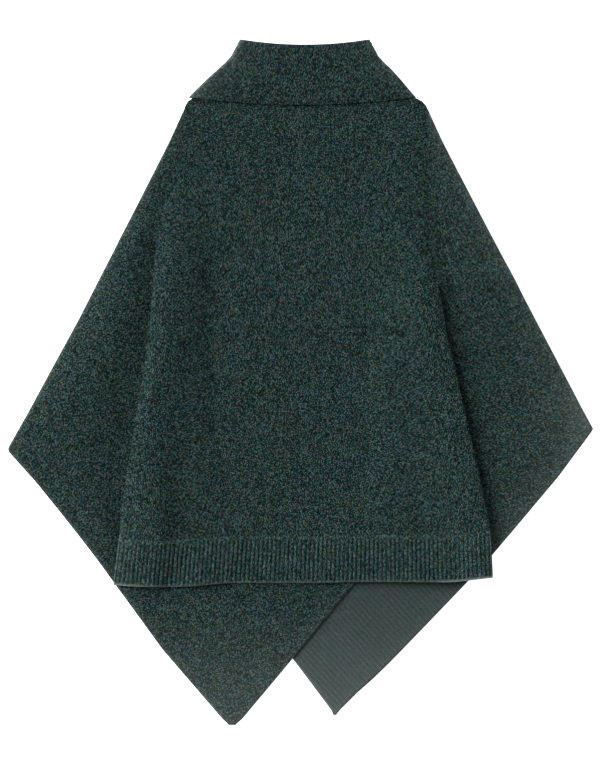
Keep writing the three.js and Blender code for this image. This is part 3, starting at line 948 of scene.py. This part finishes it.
flecked = flecked_knit("flecked knit")
ribbed = rib_knit("rib knit")
reverse = reverse_knit("wrong side of the knit")


def dress(piece, *materials):
    for material in materials:
        piece.data.materials.append(material)


def settle(piece, node, cut):
    """Joins a piece to the root body and hides the solid that it stands for; the size and area of its
    cut are worked out but not kept.
    """
    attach(piece, "root")
    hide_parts(node)
    cut.smallest_rectangle()
    float(cut.area())


# Pieces

def free_edges(y):
    return 1, 1


def freed(slit_y, y):
    """0 where an edge is sewn, growing to 1 below the top of its slit."""
    return float(smooth((slit_y - y) / SLIT_FADE))


def left_roundness(y):
    return 1, freed(SLIT_LEFT_Y, y)


def right_roundness(y):
    return freed(SLIT_RIGHT_Y, y), 1


def back_roundness(y):
    return freed(SLIT_LEFT_Y, y), freed(SLIT_RIGHT_Y, y)


# How far the knit of the front and the left side panel is turned, in degrees
FRONT_TURN = 43
LEFT_TURN = -40


def line_relief(x, y):
    """Fine lines of the wrong side, as low ridges."""
    angle = math.radians(FRONT_TURN)
    across = x * math.cos(angle) + y * math.sin(angle)
    return LINE_RELIEF * np.sin(2 * math.pi * across / LINE_PITCH)


def make_front():
    heights, row_fullness = row_heights(
        FRONT, 0.0085, 0, 1, fine_below=-0.288, fine_step=0.0015
    )
    x, y, fullness = panel_grid(FRONT, heights, 150, free_edges)
    fullness = fullness * row_fullness[:, None]
    shown = smooth((-0.285 - y) / 0.01)
    relief = shown * line_relief(x, y)
    piece, points = shell(
        "front_panel_knit", x, y, front_height(x, y), WALL, fullness, relief
    )
    paint_knit(piece, points, FRONT_TURN, FRONT)
    dress(piece, reverse, flecked)
    settle(piece, "front_panel", FRONT)


def make_side(name, node, cut, height, roundness, turn):
    heights, row_fullness = row_heights(cut, 0.0045, 1, 1)
    x, y, fullness = panel_grid(cut, heights, 84, roundness)
    fullness = fullness * row_fullness[:, None]
    piece, points = shell(name, x, y, height(x, y), WALL, fullness)
    paint_knit(piece, points, turn, cut)
    dress(piece, flecked, reverse)
    settle(piece, node, cut)


def rib_top(x):
    return hem_y(x) + RIB_HEIGHT


def make_back():
    last_y = HEM_Y + RIB_HEIGHT
    kept = [row for row in BACK_ROWS if row[0] > last_y + 0.001]
    body = Cut(kept + [(last_y, BACK.side("left", last_y), BACK.side("right", last_y))])
    heights, row_fullness = row_heights(body, 0.0042, 0, 0)
    x, y, fullness = panel_grid(body, heights, 132, back_roundness)
    fullness = fullness * row_fullness[:, None]
    share = np.clip((LEAN_FROM_Y - y) / (LEAN_FROM_Y - last_y), 0, 1)
    y = y + (rib_top(x) - last_y) * share
    piece, points = shell("back_panel_knit", x, y, back_height(x, y), WALL, fullness)
    paint_knit(piece, points, 0, BACK)
    dress(piece, flecked, reverse)
    settle(piece, "back_panel", body)


def make_hem():
    """Ribbed hem: its columns follow the ribs, and its rows follow the hem line."""
    low_offsets, low_fullness = rim(1)
    rise = np.concatenate(
        [
            [RIB_HEIGHT, RIB_HEIGHT - RIM_SQUARE[1]],
            np.linspace(RIB_HEIGHT - 0.0008, low_offsets[-1], 33),
            low_offsets[:-1][::-1],
        ]
    )
    row_fullness = np.concatenate([[0, 1], np.ones(33), low_fullness[:-1][::-1]])
    inner = np.arange(RIB_COUNT * RIB_COLUMNS + 1) / (RIB_COUNT * RIB_COLUMNS)
    rim_shares = RIM_ROUND[:-1] / 0.568
    middle = rim_shares[-1] + 0.001 + inner * (0.998 - 2 * rim_shares[-1])
    shares = np.concatenate([rim_shares, middle, 1 - rim_shares[::-1]])
    column_fullness = np.concatenate(
        [RIM_FULLNESS_ROUND[:-1], np.ones(len(inner)), RIM_FULLNESS_ROUND[:-1][::-1]]
    )
    row_y = HEM_Y + rise
    left = BACK.soft_side("left", row_y)[:, None]
    right = BACK.soft_side("right", row_y)[:, None]
    x = left + (right - left) * shares[None, :]
    y = hem_y(x) + rise[:, None]
    phase = shares * RIB_COUNT
    crest = (0.5 + 0.5 * np.cos(2 * math.pi * phase)) ** 0.38
    ending = smooth(rise / 0.005)[:, None] * smooth((RIB_HEIGHT - rise) / 0.009)[:, None]
    relief = RIB_RELIEF * (crest[None, :] - 1) * ending
    fullness = row_fullness[:, None] * column_fullness[None, :]
    piece, points = shell("back_hem_rib_knit", x, y, back_height(x, y), WALL, fullness, relief)
    paint_knit(piece, points, 0, BACK)
    # Painted shade for the grooves between the ribs.
    groove_shade = (1 - crest)[None, :] * ending
    inner_mask = np.zeros(x.shape, bool)
    inner_mask[1:-1, 1:-1] = True
    paint(piece, "groove_shade", np.concatenate([groove_shade.ravel(), groove_shade[inner_mask]]))
    # Painted highlight along the hem's rolled lower edge.
    hem_highlight = np.exp(-((rise / 0.0021) ** 2))[:, None] * hem_highlight_spread(x)
    paint(piece, "painted_hem_highlight", np.concatenate([hem_highlight.ravel(), hem_highlight[inner_mask]]))
    dress(piece, ribbed, ribbed)
    ends = (HEM_Y + RIB_HEIGHT, HEM_Y)
    hem_cut = Cut([(end, BACK.side("left", end), BACK.side("right", end)) for end in ends])
    settle(piece, "back_hem_rib", hem_cut)


def hem_highlight_spread(x):
    """Painted highlight on the rolled bound-off edge, strongest at its two corners."""
    left = smooth(1 - (x + 0.279) / 0.075)
    right = smooth((x - 0.195) / 0.030)
    return 0.25 + 0.75 * np.maximum(left, right)


def collar_path():
    """The collar's wall from the neck seam up inside, over the fold, down and back: for each ring its
    height, half width and half height."""
    stand_in = SEAM / 2
    stand_out = stand_in + WALL
    fall_in = stand_out + SEAM
    fall_out = fall_in + WALL
    fall_y = np.array([y for y, _ in FALL_ROWS])
    fall_half = np.array([half for _, half in FALL_ROWS])
    low_y = fall_y[-1]

    def fall_width(y):
        return np.interp(-y, -fall_y, fall_half)

    def stand_width(y):
        return NECK_HALF + (FOLD_HALF - NECK_HALF) * (y - NECK_Y) / (FOLD_TOP - NECK_Y)

    path = []
    for y in np.linspace(NECK_Y, FOLD_TOP - 0.004, 14):
        path.append((y, stand_width(y) - WALL * smooth((y - NECK_Y) / 0.02), stand_in))
    centre = (stand_in + fall_out) / 2
    radius = (fall_out - stand_in) / 2
    for turn in np.radians([18, 40, 62, 84, 104, 124, 144, 164]):
        y = FOLD_TOP - 0.004 + 0.004 * math.sin(turn)
        height = centre - radius * math.cos(turn)
        half = FOLD_HALF - 0.0025 + 0.004 * (1 - math.cos(turn)) / 2
        path.append((y, half, height))
    for y in np.linspace(FOLD_TOP - 0.006, low_y + 0.0012, 36):
        thinner = FALL_EDGE_THINNING * smooth(1 - (y - low_y) / 0.009)
        path.append((y, fall_width(min(y, fall_y[0])), fall_out - thinner))
    edge_half = (WALL - FALL_EDGE_THINNING) / 2
    for turn in np.radians([30, 60, 90, 120, 150]):
        y = low_y + edge_half * (1 - math.sin(turn))
        height = fall_in + edge_half * (1 + math.cos(turn))
        path.append((y, fall_width(low_y) - WALL / 2 * (1 - math.cos(turn)), height))
    for y in np.linspace(low_y + 0.002, FOLD_TOP - 0.012, 20):
        path.append((y, fall_width(min(y, fall_y[0])) - WALL, fall_in))
    path.append((FOLD_TOP - 0.0095, FOLD_HALF + SEAM, (stand_out + fall_in) / 2))
    for y in np.linspace(FOLD_TOP - 0.012, NECK_Y, 12):
        path.append((y, stand_width(y) + (0 if y > NECK_Y + 0.003 else WALL), stand_out))
    return path


def make_collar():
    """Roll collar: rings that are straight above and below and round at both ends."""
    straight_steps = 90
    end_steps = 10
    mid = 2 * LAYER - SEAM / 2
    lean_y = [-y for y, _ in FALL_LEAN]
    lean_x = [x for _, x in FALL_LEAN]
    rings = []
    for y, half, height in collar_path():
        straight = half - height
        middle_x = COLLAR_X + np.interp(-y, lean_y, lean_x)
        dip = FALL_DIP if y < 0.5 else FALL_DIP + (FOLD_DIP - FALL_DIP) * smooth((y - 0.5) / 0.01)
        dip = dip * smooth((y - 0.40) / 0.05 + 0.5)
        ring = []
        for side in (1, -1):
            for step in range(straight_steps):
                ring.append((side * straight * (2 * step / straight_steps - 1), side * height))
            for step in range(end_steps):
                turn = math.pi * step / end_steps
                ring.append(
                    (side * (straight + height * math.sin(turn)), side * height * math.cos(turn))
                )
        ring = np.array(ring)
        share = np.clip(abs(ring[:, 0]) / half, 0, 1)
        rings.append(
            np.stack([middle_x + ring[:, 0], y - dip * (1 - share**2), mid + ring[:, 1]], 1)
        )
    size = len(rings[0])
    count = len(rings)
    points = np.concatenate(rings)
    index = np.arange(count * size).reshape(count, size)
    next_ring = np.roll(index, -1, axis=0)
    next_point = np.roll(index, -1, axis=1)
    both = np.roll(next_ring, -1, axis=1)
    faces = np.stack([index, next_ring, both, next_point], -1).reshape(-1, 4)
    mesh = bpy.data.meshes.new("roll_collar_knit")
    mesh.from_pydata(points.tolist(), [], faces.tolist())
    piece, points = finish_mesh("roll_collar_knit", mesh, points)
    paint_knit(piece, points, 0, COLLAR)
    dress(piece, flecked)
    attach(piece, "root")
    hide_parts("roll_collar")


def make_floor():
    mesh = bpy.data.meshes.new("floor")
    reach = FLOOR_REACH
    corners = [(-reach, -reach, 0), (reach, -reach, 0), (reach, reach, 0), (-reach, reach, 0)]
    mesh.from_pydata(corners, [], [(0, 1, 2, 3)])
    floor = bpy.data.objects.new("floor", mesh)
    bpy.context.scene.collection.objects.link(floor)
    floor.location.z = -FLOOR_GAP
    graph = Graph("floor")
    graph.shader.inputs["Base Color"].default_value = (0.85, 0.85, 0.85, 1)
    graph.shader.inputs["Roughness"].default_value = 0.9
    graph.shader.inputs["Emission Color"].default_value = (1, 1, 1, 1)
    graph.shader.inputs["Emission Strength"].default_value = FLOOR_GLOW
    floor.data.materials.append(graph.material)


def make_lights():
    sun = bpy.data.lights.new("key light", "SUN")
    sun.energy = SUN_STRENGTH
    sun.angle = math.radians(SUN_SPREAD)
    lamp = bpy.data.objects.new("key light", sun)
    bpy.context.scene.collection.objects.link(lamp)
    lamp.location = SUN_FROM
    azimuth = math.atan2(SUN_FROM[1], SUN_FROM[0])
    tilt = math.atan2(math.hypot(SUN_FROM[0], SUN_FROM[1]), SUN_FROM[2])
    lamp.rotation_euler = (0, tilt, azimuth)
    world = bpy.data.worlds.new("studio")
    world.use_nodes = True
    sky = world.node_tree.nodes["Background"]
    sky.inputs["Color"].default_value = (1, 1, 1, 1)
    sky.inputs["Strength"].default_value = SKY_STRENGTH
    bpy.context.scene.world = world


def make_camera():
    data = bpy.data.cameras.new("camera")
    data.lens = LENS
    data.sensor_width = SENSOR
    camera = bpy.data.objects.new("camera", data)
    bpy.context.scene.collection.objects.link(camera)
    camera.location = (0, 0, FRAME_HEIGHT * LENS / SENSOR)
    bpy.context.scene.camera = camera


make_camera()
make_lights()
make_floor()
make_front()
make_side("left_side_panel_knit", "left_side_panel", LEFT, left_height, left_roundness, LEFT_TURN)
make_side("right_side_panel_knit", "right_side_panel", RIGHT, right_height, right_roundness, 0)
make_back()
make_hem()
make_collar()
bpy.context.scene.view_settings.view_transform = "Standard"
